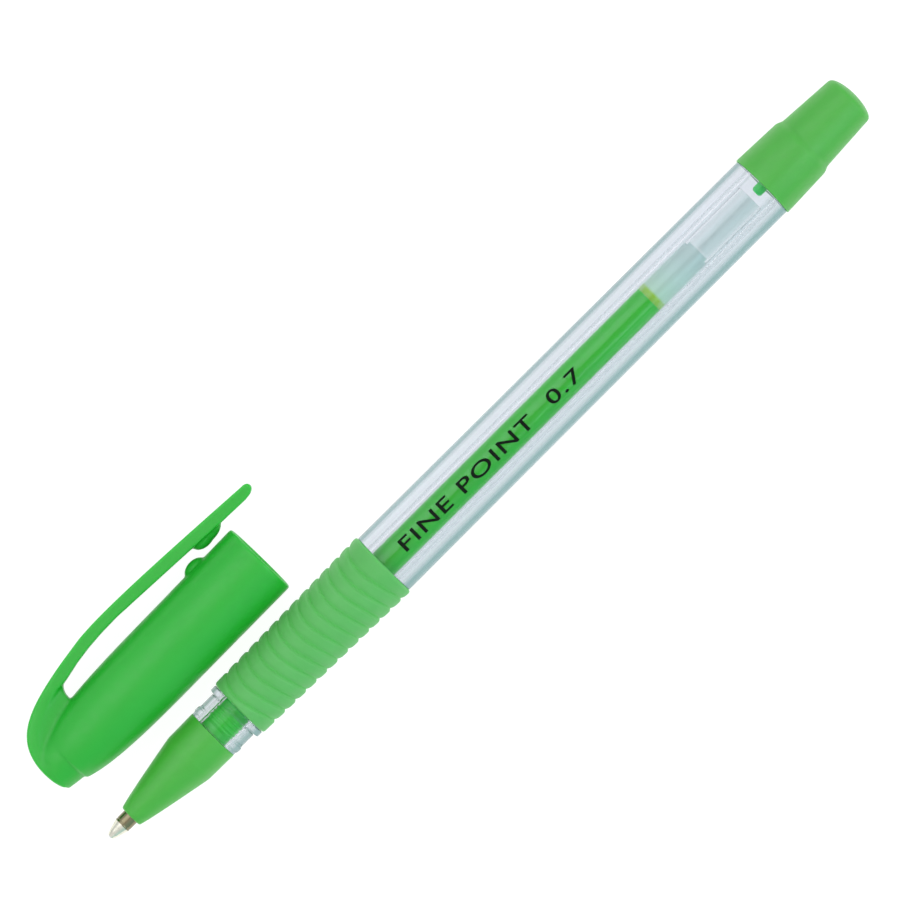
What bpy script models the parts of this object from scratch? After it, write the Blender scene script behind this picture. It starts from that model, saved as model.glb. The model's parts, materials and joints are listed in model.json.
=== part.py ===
"""Capped gel pen, lying uncapped with its cap beside it.

The pen's axis runs along +X from the writing ball to the end plug, and the cap lies on its +Y side
with its mouth facing +X. The origin is on the floor, at the middle of the whole layout.
"""

import math

import bmesh
import bpy
from mathutils import Vector

MM = 0.001

# Driving dimensions, in millimetres. Stations are measured from the writing ball.
PEN_LENGTH = 136.85
BARREL_R = 4.7
BARREL_REAR_R = 4.55
BORE_R = 2.3
COLLAR_FRONT = 19.1
COLLAR_R = 3.78
SNAP_RING_R = 3.9
FLANGE_FRONT = 22.9
FLANGE_REAR = 23.75
FLANGE_R = 4.3
NECK_R = 3.4
NECK_REAR = 127.0

GRIP_FRONT = 23.85
GRIP_REAR = 50.35
GRIP_FRONT_R = 4.5
GRIP_REAR_R = 5.0
GRIP_BORE_R = 3.85
GRIP_SEAT_R = 3.75
GROOVES = 13
GROOVE_PITCH = 1.895
FIRST_GROOVE = 26.1
GROOVE_DEPTH = 0.34
GROOVE_WAVE = 1.4

SECTION_FRONT = 3.97
SECTION_FRONT_R = 1.61
SECTION_SHOULDER = 14.3
SECTION_R = 3.82
SPIGOT_R = 2.1
SPIGOT_REAR = 26.6
SECTION_BORE_R = 1.72

PLUG_FRONT = 119.85
PLUG_R = 4.75
PLUG_STEP = 126.8
PLUG_RIM_R = 3.62
PLUG_DOME = 1.15
PLUG_PIN_R = 0.75
PLUG_PIN_FRONT = 118.55

TIP_REAR = 13.0
SHANK_R = 1.14
BALL_R = 0.4

HOLDER_FRONT = 9.0
HOLDER_R = 1.45
TUBE_FRONT = 28.0
TUBE_REAR = 117.6
TUBE_R = 2.0
TUBE_BORE_R = 1.65
STUB_REAR = 33.5
INK_REAR = 99.0
INK_R = 1.6
GREASE_LENGTH = 8.9

CAP_LENGTH = 39.8
CAP_MOUTH_R = 5.36
CAP_BORE_R = 4.45
CAP_STEP = 36.1
CAP_END_R = 3.4
CAP_SPACING = 12.0
CAP_MOUTH_STATION = 39.65
CAP_TILT = math.radians(0.8)
CLIP_WIDTH = 4.2
CLIP_THICKNESS = 1.62
CLIP_ROOT = 29.1
CLIP_ROOT_TOP = 8.75
CLIP_REACH = 5.85
CLIP_SPLIT = 0.2
CLIP_BALL_WIDTH = 2.6
WEB_WIDTH = 2.8
HOOD_RISE = 0.35
CREST_FLARE = 0.7
CREST_FLARE_FROM = -34.0

# Small clearances between pieces that touch.
SLIP = 0.05

# From the layout's middle back to the ball, and across to the pen's axis.
LAYOUT_BACK = 68.35
LAYOUT_ACROSS = 8.16

SIDES = 36
FINE_SIDES = 24

PEN_Z = GRIP_REAR_R
CAP_Z = CAP_MOUTH_R

GREEN = (0.075, 0.47, 0.07)
LIGHT_GREEN = (0.12, 0.5, 0.1)


def clear_scene():
    for item in list(bpy.data.objects):
        bpy.data.objects.remove(item, do_unlink=True)


def make_material(name, color, roughness, metallic=0.0, transmission=0.0):
    material = bpy.data.materials.new(name)
    material.use_nodes = True
    shader = material.node_tree.nodes["Principled BSDF"]
    shader.inputs["Base Color"].default_value = (*color, 1.0)
    shader.inputs["Roughness"].default_value = roughness
    shader.inputs["Metallic"].default_value = metallic
    shader.inputs["Transmission Weight"].default_value = transmission
    return material


def make_empty(name, location, turn, parent=None):
    """An empty at a place in millimetres, turned about Z by an angle."""
    empty = bpy.data.objects.new(name, None)
    bpy.context.collection.objects.link(empty)
    empty.empty_display_size = 3 * MM
    empty.location = Vector(location) * MM
    empty.rotation_euler = (0.0, 0.0, turn)
    empty.parent = parent
    return empty


def finish(bm, name, parent, material, origin=(0.0, 0.0, 0.0)):
    """Turns a bmesh in millimetres, drawn in the parent's frame, into an object with its own origin."""
    bmesh.ops.recalc_face_normals(bm, faces=bm.faces)
    for vert in bm.verts:
        vert.co = (vert.co - Vector(origin)) * MM
    mesh = bpy.data.meshes.new(name)
    bm.to_mesh(mesh)
    bm.free()
    mesh.shade_smooth()
    mesh.set_sharp_from_angle(angle=math.radians(35.0))
    mesh.materials.append(material)
    item = bpy.data.objects.new(name, mesh)
    bpy.context.collection.objects.link(item)
    item.parent = parent
    item.location = Vector(origin) * MM
    return item


def ring(bm, x, radius, sides, shift=None):
    """A ring of points about the X axis. shift moves each point along X by its angle."""
    points = []
    for k in range(sides):
        angle = 2.0 * math.pi * k / sides
        along = x + (shift(angle) if shift else 0.0)
        points.append(bm.verts.new((along, radius * math.cos(angle), radius * math.sin(angle))))
    return points


def turned(outline, sides, shift=None):
    """A body turned about the X axis from a closed or axis-to-axis outline of (x, radius) points."""
    bm = bmesh.new()
    shifts = shift or [None] * len(outline)
    rings = []
    for (x, radius), wave in zip(outline, shifts):
        if radius <= 0.0:
            rings.append([bm.verts.new((x, 0.0, 0.0))])
        else:
            rings.append(ring(bm, x, radius, sides, wave))
    closed = len(rings[0]) > 1 and len(rings[-1]) > 1
    pairs = list(zip(rings, rings[1:]))
    if closed:
        pairs.append((rings[-1], rings[0]))
    for near, far in pairs:
        for k in range(sides):
            after = (k + 1) % sides
            if len(near) == 1:
                bm.faces.new((near[0], far[k], far[after]))
            elif len(far) == 1:
                bm.faces.new((near[k], far[0], near[after]))
            else:
                bm.faces.new((near[k], far[k], far[after], near[after]))
    return bm


def arc(center, radii, start, end, steps):
    """Points along an ellipse's arc, with angles in degrees and both ends included."""
    points = []
    for k in range(steps + 1):
        angle = math.radians(start + (end - start) * k / steps)
        points.append((center[0] + radii[0] * math.cos(angle), center[1] + radii[1] * math.sin(angle)))
    return points


def bezier(p0, p1, p2, p3, steps):
    """Points along a cubic curve, with both ends included."""
    points = []
    for k in range(steps + 1):
        t = k / steps
        weights = ((1 - t) ** 3, 3 * t * (1 - t) ** 2, 3 * t * t * (1 - t), t ** 3)
        points.append(tuple(sum(w * p[i] for w, p in zip(weights, (p0, p1, p2, p3))) for i in (0, 1)))
    return points


def plate(outline, width):
    """A body with an XY outline and a width across Z, centred on the XY plane."""
    bm = bmesh.new()
    low = [bm.verts.new((x, y, -width / 2)) for x, y in outline]
    face = bm.faces.new(low)
    extruded = bmesh.ops.extrude_face_region(bm, geom=[face])
    lifted = [item for item in extruded["geom"] if isinstance(item, bmesh.types.BMVert)]
    bmesh.ops.translate(bm, verts=lifted, vec=(0.0, 0.0, width))
    return bm


def strip(outer, inner, half):
    """A body between two XY curves of the same count. half gives its half width at a point."""
    bm = bmesh.new()
    rows = []
    for top, under in zip(outer, inner):
        wide = half(*top)
        corners = [(*top, -wide), (*top, wide), (*under, wide), (*under, -wide)]
        rows.append([bm.verts.new(corner) for corner in corners])
    for near, far in zip(rows, rows[1:]):
        for k in range(4):
            after = (k + 1) % 4
            bm.faces.new((near[k], near[after], far[after], far[k]))
    bm.faces.new(rows[0])
    bm.faces.new(rows[-1])
    return bm


def join(item, added):
    """Merges a second body into the first, and leaves the second as a hidden cutter."""
    added.hide_render = True
    added.display_type = "WIRE"
    modifier = item.modifiers.new(added.name, "BOOLEAN")
    modifier.operation = "UNION"
    modifier.solver = "EXACT"
    modifier.object = added


def barrel(pen):
    """Clear tube: collar, snap ring, flange, seat for the grip, long body and rear neck."""
    shoulder = GRIP_REAR + SLIP * 2
    outline = [
        (COLLAR_FRONT + 0.15, BORE_R),
        (COLLAR_FRONT, COLLAR_R - 0.15),
        (COLLAR_FRONT + 0.15, COLLAR_R),
        (COLLAR_FRONT + 0.5, SNAP_RING_R),
        (COLLAR_FRONT + 1.1, SNAP_RING_R),
        (COLLAR_FRONT + 1.4, COLLAR_R - 0.03),
        (FLANGE_FRONT - 0.2, COLLAR_R - 0.03),
        (FLANGE_FRONT, FLANGE_R - 0.1),
        (FLANGE_FRONT + 0.1, FLANGE_R),
        (FLANGE_REAR, FLANGE_R),
        (FLANGE_REAR, GRIP_SEAT_R),
        (shoulder, GRIP_SEAT_R),
        (shoulder, BARREL_R - 0.1),
        (shoulder + 0.1, BARREL_R),
        (PLUG_FRONT - 0.25, BARREL_REAR_R),
        (PLUG_FRONT - 0.15, BARREL_REAR_R - 0.1),
        (PLUG_FRONT - 0.15, NECK_R),
        (NECK_REAR - 0.3, NECK_R),
        (NECK_REAR, NECK_R - 0.3),
        (NECK_REAR, BORE_R),
    ]
    material = make_material("clear_barrel", (0.93, 0.97, 0.98), 0.03, transmission=1.0)
    finish(turned(outline, SIDES), "barrel", pen, material)


def grip_wave(angle):
    """How far a groove swings towards the tip. The wave runs twice round the sleeve."""
    turn = (angle % math.pi) / math.pi
    return -GROOVE_WAVE * max(0.0, math.sin(math.pi * turn ** 0.712)) ** 2.2


def grip_radius(x):
    along = (x - GRIP_FRONT) / (GRIP_REAR - GRIP_FRONT)
    return GRIP_FRONT_R + (GRIP_REAR_R - GRIP_FRONT_R) * along


def grip_sleeve(pen):
    """Ribbed sleeve: each groove is a wave round the sleeve, and the ribs between them are rounded."""
    outline = [(GRIP_FRONT, GRIP_BORE_R), (GRIP_FRONT, grip_radius(GRIP_FRONT) - 0.15)]
    outline.append((GRIP_FRONT + 0.15, grip_radius(GRIP_FRONT)))
    waves = [None] * 3
    for k in range(GROOVES):
        bottom = FIRST_GROOVE + k * GROOVE_PITCH
        for offset, depth in ((-0.35, 0.0), (0.0, GROOVE_DEPTH), (0.7, 0.04)):
            x = bottom + offset
            outline.append((x, grip_radius(x) - depth))
            waves.append(grip_wave)
    outline.append((GRIP_REAR - 0.2, GRIP_REAR_R))
    outline.append((GRIP_REAR, GRIP_REAR_R - 0.2))
    outline.append((GRIP_REAR, GRIP_BORE_R))
    waves += [None] * 3
    material = make_material("soft_grip", LIGHT_GREEN, 0.6)
    finish(turned(outline, SIDES, waves), "grip_sleeve", pen, material)


def front_section(frame):
    """Cone with a threaded spigot for the barrel, drilled for the refill's tip."""
    start = (SECTION_FRONT + 0.08, SECTION_FRONT_R)
    taper = bezier(start, (5.0, 1.95), (9.5, 2.83), (SECTION_SHOULDER, SECTION_R - 0.1), 8)
    spigot_front = COLLAR_FRONT - SLIP
    outline = [
        (SECTION_FRONT + 0.1, SHANK_R + 0.16),
        (SECTION_FRONT, SHANK_R + 0.26),
        (SECTION_FRONT, SECTION_FRONT_R - 0.1),
        *taper,
        (SECTION_SHOULDER + 0.5, SECTION_R - 0.04),
        (spigot_front - 0.15, SECTION_R),
        (spigot_front, SECTION_R - 0.15),
        (spigot_front, SPIGOT_R),
        (SPIGOT_REAR - 0.2, SPIGOT_R),
        (SPIGOT_REAR, SPIGOT_R - 0.12),
        (SPIGOT_REAR, SECTION_BORE_R),
        (HOLDER_FRONT - 0.4, SECTION_BORE_R),
        (HOLDER_FRONT - 0.7, SHANK_R + 0.16),
    ]
    material = make_material("green_section", GREEN, 0.35)
    finish(turned(outline, SIDES), "front_section", frame, material, (COLLAR_FRONT, 0.0, 0.0))


def end_plug(frame):
    """Tapered plug over the barrel's neck, with a centre pin in the bore and a shallow dome."""
    rim = PEN_LENGTH - PLUG_DOME
    dome = arc((rim, 0.0), (PLUG_DOME, PLUG_RIM_R - 0.12), 80.0, 0.0, 5)[:-1]
    cup_rear = NECK_REAR + 0.15
    outline = [
        (PEN_LENGTH, 0.0),
        *reversed(dome),
        (rim, PLUG_RIM_R),
        (PLUG_STEP + 1.2, 4.1),
        (PLUG_STEP + 0.7, 4.17),
        (PLUG_STEP + 0.3, 4.4),
        (PLUG_STEP, 4.48),
        (PLUG_FRONT + 0.15, PLUG_R),
        (PLUG_FRONT, PLUG_R - 0.15),
        (PLUG_FRONT, NECK_R + SLIP),
        (cup_rear, NECK_R + SLIP),
        (cup_rear, PLUG_PIN_R + 0.1),
        (PLUG_PIN_FRONT + 0.25, PLUG_PIN_R),
        (PLUG_PIN_FRONT, PLUG_PIN_R - 0.25),
        (PLUG_PIN_FRONT, 0.0),
    ]
    material = make_material("green_plug", LIGHT_GREEN, 0.4)
    finish(turned(outline, SIDES), "end_plug", frame, material, (PLUG_FRONT, 0.0, 0.0))


def refill_tube(frame):
    outline = [
        (TUBE_FRONT, TUBE_BORE_R),
        (TUBE_FRONT, TUBE_R),
        (TUBE_REAR, TUBE_R),
        (TUBE_REAR, TUBE_BORE_R),
    ]
    material = make_material("clear_refill", (0.9, 0.96, 0.93), 0.15, transmission=0.9)
    finish(turned(outline, FINE_SIDES), "refill_tube", frame, material, (TUBE_FRONT, 0.0, 0.0))


def rod(name, frame, front, rear, radius, edge, material):
    """A solid rod along X with a small edge at each end."""
    outline = [
        (front, 0.0),
        (front, radius - edge),
        (front + edge, radius),
        (rear - edge, radius),
        (rear, radius - edge),
        (rear, 0.0),
    ]
    finish(turned(outline, FINE_SIDES), name, frame, material, (front, 0.0, 0.0))


def ink_column(frame):
    material = make_material("gel_ink", (0.06, 0.5, 0.05), 0.3)
    rod("ink_column", frame, STUB_REAR + 0.3, INK_REAR, INK_R, 0.15, material)


def follower_grease(frame):
    front = INK_REAR + 0.1
    material = make_material("grease", (0.75, 0.9, 0.75), 0.25, transmission=0.6)
    rod("follower_grease", frame, front, front + GREASE_LENGTH, INK_R, 0.1, material)


def tip_holder(frame):
    """Connector: a long neck for the metal tip, a stop flange, and a stub in the refill tube."""
    flange = SPIGOT_REAR + 0.4
    channel_r = 0.6
    outline = [
        (HOLDER_FRONT, SHANK_R - 0.14),
        (HOLDER_FRONT, HOLDER_R),
        (flange, HOLDER_R),
        (flange, TUBE_R - 0.1),
        (TUBE_FRONT - SLIP, TUBE_R - 0.1),
        (TUBE_FRONT - SLIP, TUBE_BORE_R - SLIP),
        (STUB_REAR, TUBE_BORE_R - SLIP * 3),
        (STUB_REAR, channel_r),
        (TIP_REAR + 0.2, channel_r),
        (TIP_REAR + 0.2, SHANK_R - 0.14),
    ]
    material = make_material("holder_plastic", (0.85, 0.87, 0.85), 0.4)
    finish(turned(outline, FINE_SIDES), "tip_holder", frame, material, (HOLDER_FRONT, 0.0, 0.0))


def tip_housing(frame):
    """Metal tip: a rim rolled over the ball, a convex cone, the shank and a stub in the holder."""
    rim = BALL_R * 0.55
    socket_r = BALL_R + 0.03
    seat = 2 * BALL_R + 0.05
    outline = [
        (rim, BALL_R - 0.015),
        (rim, BALL_R + 0.06),
        (0.8, 0.7),
        (1.5, 0.92),
        (2.35, SHANK_R - 0.02),
        (2.6, SHANK_R),
        (HOLDER_FRONT - 0.15, SHANK_R),
        (HOLDER_FRONT - 0.15, SHANK_R - 0.2),
        (TIP_REAR, SHANK_R - 0.2),
        (TIP_REAR, 0.5),
        (2.6, 0.5),
        (1.6, 0.2),
        (seat, 0.2),
        (seat - 0.1, socket_r),
        (rim + 0.12, socket_r),
    ]
    material = make_material("nickel_silver", (0.62, 0.58, 0.42), 0.22, metallic=1.0)
    finish(turned(outline, FINE_SIDES), "tip_housing", frame, material, (BALL_R, 0.0, 0.0))


def writing_ball(frame):
    points = arc((BALL_R, 0.0), (BALL_R, BALL_R), 180.0, 0.0, 10)
    outline = [(points[0][0], 0.0), *points[1:-1], (points[-1][0], 0.0)]
    material = make_material("carbide", (0.7, 0.7, 0.7), 0.15, metallic=1.0)
    finish(turned(outline, FINE_SIDES), "writing_ball", frame, material, (BALL_R, 0.0, 0.0))


def clip_outer(steps):
    """The strap's outer curve, from the crest over the closed end to the clip's tip."""
    crest = bezier((-CAP_LENGTH, 0.4), (-39.7, 7.3), (-34.6, 8.08), (-24.0, 9.5), steps)
    bow = bezier((-24.0, 9.5), (-18.6, 10.02), (-5.0, 8.92), (5.4, 8.18), steps)
    return crest, bow


def inward(points, thickness):
    """The curve moved to its right-hand side by the thickness."""
    moved = []
    for k, point in enumerate(points):
        before = points[max(k - 1, 0)]
        after = points[min(k + 1, len(points) - 1)]
        run = math.hypot(after[0] - before[0], after[1] - before[1])
        moved.append(
            (
                point[0] + thickness * (after[1] - before[1]) / run,
                point[1] - thickness * (after[0] - before[0]) / run,
            )
        )
    return moved


def crest_half(x, y):
    """The crest's half width, which grows towards the closed end and shrinks again below the axis."""
    along = max(0.0, min(1.0, (CREST_FLARE_FROM - x) / (CAP_LENGTH + CREST_FLARE_FROM)))
    below = math.sqrt(1.0 - (min(0.0, y) / CAP_END_R) ** 2)
    return (CLIP_WIDTH / 2 + CREST_FLARE * along) * below


def cap_shell(frame):
    """Hollow cap body with a stepped closed end, a hood over it, the crest, its web and a bump."""
    bump_at = -6.9
    body = bezier((-CAP_STEP, 3.6), (-33.5, 4.55), (-29.0, 5.1), (-20.0, 5.2), 7)
    outline = [
        (-CAP_LENGTH + 0.05, 0.0),
        (-CAP_LENGTH + 0.12, 1.3),
        (-CAP_LENGTH + 0.35, 2.3),
        (-CAP_LENGTH + 0.85, 3.0),
        (-CAP_STEP - 0.9, 3.22),
        (-CAP_STEP - 0.15, 3.3),
        *body,
        (-0.3, CAP_MOUTH_R),
        (0.0, CAP_MOUTH_R - 0.3),
        (0.0, CAP_BORE_R),
        (-8.0, CAP_BORE_R - 0.1),
        (-9.0, CAP_BORE_R - 0.4),
        (-24.0, CAP_BORE_R - 0.55),
        (-34.0, 2.4),
        (-36.5, 1.8),
        (-37.3, 0.0),
    ]
    material = make_material("green_cap", GREEN, 0.35)
    shell = finish(turned(outline, SIDES), "cap_shell", frame, material)

    hood_outline = [
        (-CAP_LENGTH + 0.08, 0.0),
        (-CAP_LENGTH + 0.16, 1.3),
        (-CAP_LENGTH + 0.45, 2.2),
        (-38.9, 2.9),
        (-38.1, 3.3),
        (-37.0, 3.5),
        (-35.5, 3.75),
        (-33.0, 3.98),
        (-34.0, 3.2),
        (-37.0, 2.6),
        (-37.6, 0.0),
    ]
    hood = finish(turned(hood_outline, SIDES), "hood", frame, material)
    hood.location.y = HOOD_RISE * MM
    join(shell, hood)

    crest = [(-39.2, -2.7), (-39.55, -1.9), (-39.75, -0.8)]
    crest += [p for p in clip_outer(12)[0] if p[0] < -CLIP_ROOT - CLIP_SPLIT]
    root = -CLIP_ROOT - CLIP_SPLIT / 2
    crest.append((root, CLIP_ROOT_TOP))
    under = inward(crest, CLIP_THICKNESS)
    under[-1] = (root, CLIP_ROOT_TOP - CLIP_THICKNESS - 0.15)
    strap = finish(strip(crest, under, crest_half), "crest", frame, material)
    join(shell, strap)

    web_outline = [p for p in inward(crest, CLIP_THICKNESS / 2) if p[1] > 2.0][:-1]
    web_outline += [(-30.1, 8.0), (-30.2, 6.5), (-30.6, 4.4), (-35.0, 2.9)]
    web = finish(plate(web_outline, WEB_WIDTH), "web", frame, material)
    join(shell, web)

    bump_points = arc((bump_at, 4.9), (1.8, 1.3), 180.0, 0.0, 6)
    bump = finish(plate(bump_points, 2.2), "bump", frame, material)
    join(shell, bump)


def cap_clip(frame):
    """Springy strap from its root to a rounded tip, with a ball on its underside."""
    root = -CLIP_ROOT + CLIP_SPLIT / 2
    crest, bow = clip_outer(12)
    outer = [(root, CLIP_ROOT_TOP)] + [p for p in crest if p[0] > root + 0.6] + bow[1:]
    outline = outer + [
        (CLIP_REACH - 0.08, 7.95),
        (CLIP_REACH, 7.6),
        (CLIP_REACH - 0.25, 7.1),
        (4.9, 6.75),
        (4.0, 6.67),
        (-0.3, 6.86),
        (-5.5, 7.2),
        (-9.4, 7.44),
        (-18.6, 7.99),
        (-21.5, 7.97),
        (-24.0, 7.82),
        (-26.55, 7.49),
        (root, 7.0),
    ]
    material = make_material("green_clip", GREEN, 0.35)
    hinge = (-CLIP_ROOT, 7.9, 0.0)
    clip = finish(plate(outline, CLIP_WIDTH), "cap_clip", frame, material, hinge)

    ball_outline = [(-5.35, 7.5), (-5.3, 7.0), (-4.9, 6.45), (-4.1, 6.06), (-3.2, 5.93), (-2.2, 6.05)]
    ball_outline += [(-1.2, 6.38), (-0.4, 6.8), (-0.3, 7.2)]
    ball = finish(plate(ball_outline, CLIP_BALL_WIDTH), "clip_ball", frame, material)
    join(clip, ball)


def main():
    clear_scene()
    pen = make_empty("pen_axis", (-LAYOUT_BACK, -LAYOUT_ACROSS, PEN_Z), 0.0)
    section = make_empty("section_frame", (0.0, 0.0, 0.0), 0.0, pen)
    refill = make_empty("refill_frame", (0.0, 0.0, 0.0), 0.0, section)
    plug = make_empty("plug_frame", (0.0, 0.0, 0.0), 0.0, pen)
    mouth = (CAP_MOUTH_STATION - LAYOUT_BACK, CAP_SPACING - LAYOUT_ACROSS, CAP_Z)
    cap = make_empty("cap_axis", mouth, CAP_TILT)

    barrel(pen)
    grip_sleeve(pen)
    front_section(section)
    end_plug(plug)
    refill_tube(refill)
    ink_column(refill)
    follower_grease(refill)
    tip_holder(refill)
    tip_housing(refill)
    writing_ball(refill)
    cap_shell(cap)
    cap_clip(cap)


main()
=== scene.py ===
"""Looks of the capped gel pen: fine pieces, materials, floor, light and camera."""

import json
import math

import bmesh
import bpy
from mathutils import Matrix, Vector


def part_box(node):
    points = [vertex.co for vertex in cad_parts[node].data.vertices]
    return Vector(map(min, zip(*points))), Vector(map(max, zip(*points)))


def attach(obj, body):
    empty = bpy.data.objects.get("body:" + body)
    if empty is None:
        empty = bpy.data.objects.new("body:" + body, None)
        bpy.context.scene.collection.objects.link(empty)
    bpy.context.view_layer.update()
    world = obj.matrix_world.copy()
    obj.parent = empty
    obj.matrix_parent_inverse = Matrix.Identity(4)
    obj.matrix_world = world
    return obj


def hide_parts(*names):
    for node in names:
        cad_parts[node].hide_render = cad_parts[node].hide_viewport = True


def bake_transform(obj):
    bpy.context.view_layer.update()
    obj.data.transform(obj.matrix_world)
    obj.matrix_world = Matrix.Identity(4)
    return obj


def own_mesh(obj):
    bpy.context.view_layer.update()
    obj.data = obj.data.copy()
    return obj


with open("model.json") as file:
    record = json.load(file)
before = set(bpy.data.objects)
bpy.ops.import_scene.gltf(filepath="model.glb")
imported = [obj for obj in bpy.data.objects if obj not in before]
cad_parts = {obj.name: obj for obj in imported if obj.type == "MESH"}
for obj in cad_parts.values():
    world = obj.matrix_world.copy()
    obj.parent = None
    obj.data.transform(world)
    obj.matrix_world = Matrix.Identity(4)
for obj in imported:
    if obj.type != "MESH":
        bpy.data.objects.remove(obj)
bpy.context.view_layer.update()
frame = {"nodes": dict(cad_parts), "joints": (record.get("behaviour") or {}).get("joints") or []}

MM = 0.001
SIDES = 128

# Places that the frame gives: the pen's axis from the ball, and the cap's from the middle of its mouth.
PEN_LOW, PEN_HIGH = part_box("barrel")
BALL_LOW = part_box("writing_ball")[0]
PEN_ORIGIN = Vector((BALL_LOW[0], (PEN_LOW[1] + PEN_HIGH[1]) / 2, (PEN_LOW[2] + PEN_HIGH[2]) / 2))
JOINTS = {joint["name"]: joint for joint in frame["joints"]}
HINGE_IN_CAP = Vector((-29.1, 7.9, 0.0)) * MM
CAP_AXIS = -Vector(JOINTS["cap_slide"]["axis"])
CAP_TURN = Matrix.Rotation(math.atan2(CAP_AXIS.y, CAP_AXIS.x), 4, "Z")
CAP_ORIGIN = Vector(JOINTS["clip_flex"]["pos_m"]) - CAP_TURN @ HINGE_IN_CAP
PEN_PLACE = Matrix.Translation(PEN_ORIGIN)
CAP_PLACE = Matrix.Translation(CAP_ORIGIN) @ CAP_TURN


def station(node):
    """A node's front and rear stations in millimetres from the ball."""
    low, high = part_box(node)
    return (low[0] - PEN_ORIGIN.x) / MM, (high[0] - PEN_ORIGIN.x) / MM


def half_height(node):
    low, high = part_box(node)
    return (high[2] - low[2]) / 2 / MM


# ---------------------------------------------------------------- mesh helpers


def make_piece(bm, name, place, material, sharp=40.0):
    """Turns a bmesh in millimetres into a smooth-shaded object at its place."""
    bmesh.ops.recalc_face_normals(bm, faces=bm.faces)
    bmesh.ops.scale(bm, verts=bm.verts, vec=(MM, MM, MM))
    mesh = bpy.data.meshes.new(name)
    bm.to_mesh(mesh)
    bm.free()
    mesh.shade_smooth()
    if sharp:
        mesh.set_sharp_from_angle(angle=math.radians(sharp))
    mesh.materials.append(material)
    item = bpy.data.objects.new(name, mesh)
    bpy.context.collection.objects.link(item)
    item.matrix_world = place
    return item


def turned(outline, sides=SIDES, shifts=None):
    """A body turned about X from (x, radius) points; a shift moves a ring's points by their angle."""
    bm = bmesh.new()
    rings = []
    for k, (x, radius) in enumerate(outline):
        if radius <= 0.0:
            rings.append([bm.verts.new((x, 0.0, 0.0))])
            continue
        points = []
        for j in range(sides):
            angle = 2.0 * math.pi * j / sides
            along = x + (shifts[k](angle) if shifts and shifts[k] else 0.0)
            points.append(bm.verts.new((along, radius * math.cos(angle), radius * math.sin(angle))))
        rings.append(points)
    pairs = list(zip(rings, rings[1:]))
    if len(rings[0]) > 1 and len(rings[-1]) > 1:
        pairs.append((rings[-1], rings[0]))
    for near, far in pairs:
        for j in range(sides):
            after = (j + 1) % sides
            if len(near) == 1:
                bm.faces.new((near[0], far[j], far[after]))
            elif len(far) == 1:
                bm.faces.new((near[j], far[0], near[after]))
            else:
                bm.faces.new((near[j], far[j], far[after], near[after]))
    return bm


def rounded(outline, radius, steps=4):
    """The outline with each corner that is marked (x, r, True) rounded off."""
    points = []
    count = len(outline)
    for k, corner in enumerate(outline):
        here = Vector(corner[:2])
        if len(corner) < 3 or k in (0, count - 1):
            points.append((here.x, here.y))
            continue
        before = Vector(outline[k - 1][:2]) - here
        after = Vector(outline[k + 1][:2]) - here
        cut = min(radius, before.length * 0.45, after.length * 0.45)
        start = here + before.normalized() * cut
        end = here + after.normalized() * cut
        for j in range(steps + 1):
            t = j / steps
            point = start * (1 - t) ** 2 + here * 2 * t * (1 - t) + end * t ** 2
            points.append((point.x, point.y))
    return points


def bezier(p0, p1, p2, p3, steps):
    points = []
    for k in range(steps + 1):
        t = k / steps
        weights = ((1 - t) ** 3, 3 * t * (1 - t) ** 2, 3 * t * t * (1 - t), t ** 3)
        points.append(tuple(sum(w * p[i] for w, p in zip(weights, (p0, p1, p2, p3))) for i in (0, 1)))
    return points


def arc(center, radii, start, end, steps):
    points = []
    for k in range(steps + 1):
        angle = math.radians(start + (end - start) * k / steps)
        points.append((center[0] + radii[0] * math.cos(angle), center[1] + radii[1] * math.sin(angle)))
    return points


# ---------------------------------------------------------------- materials


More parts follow.
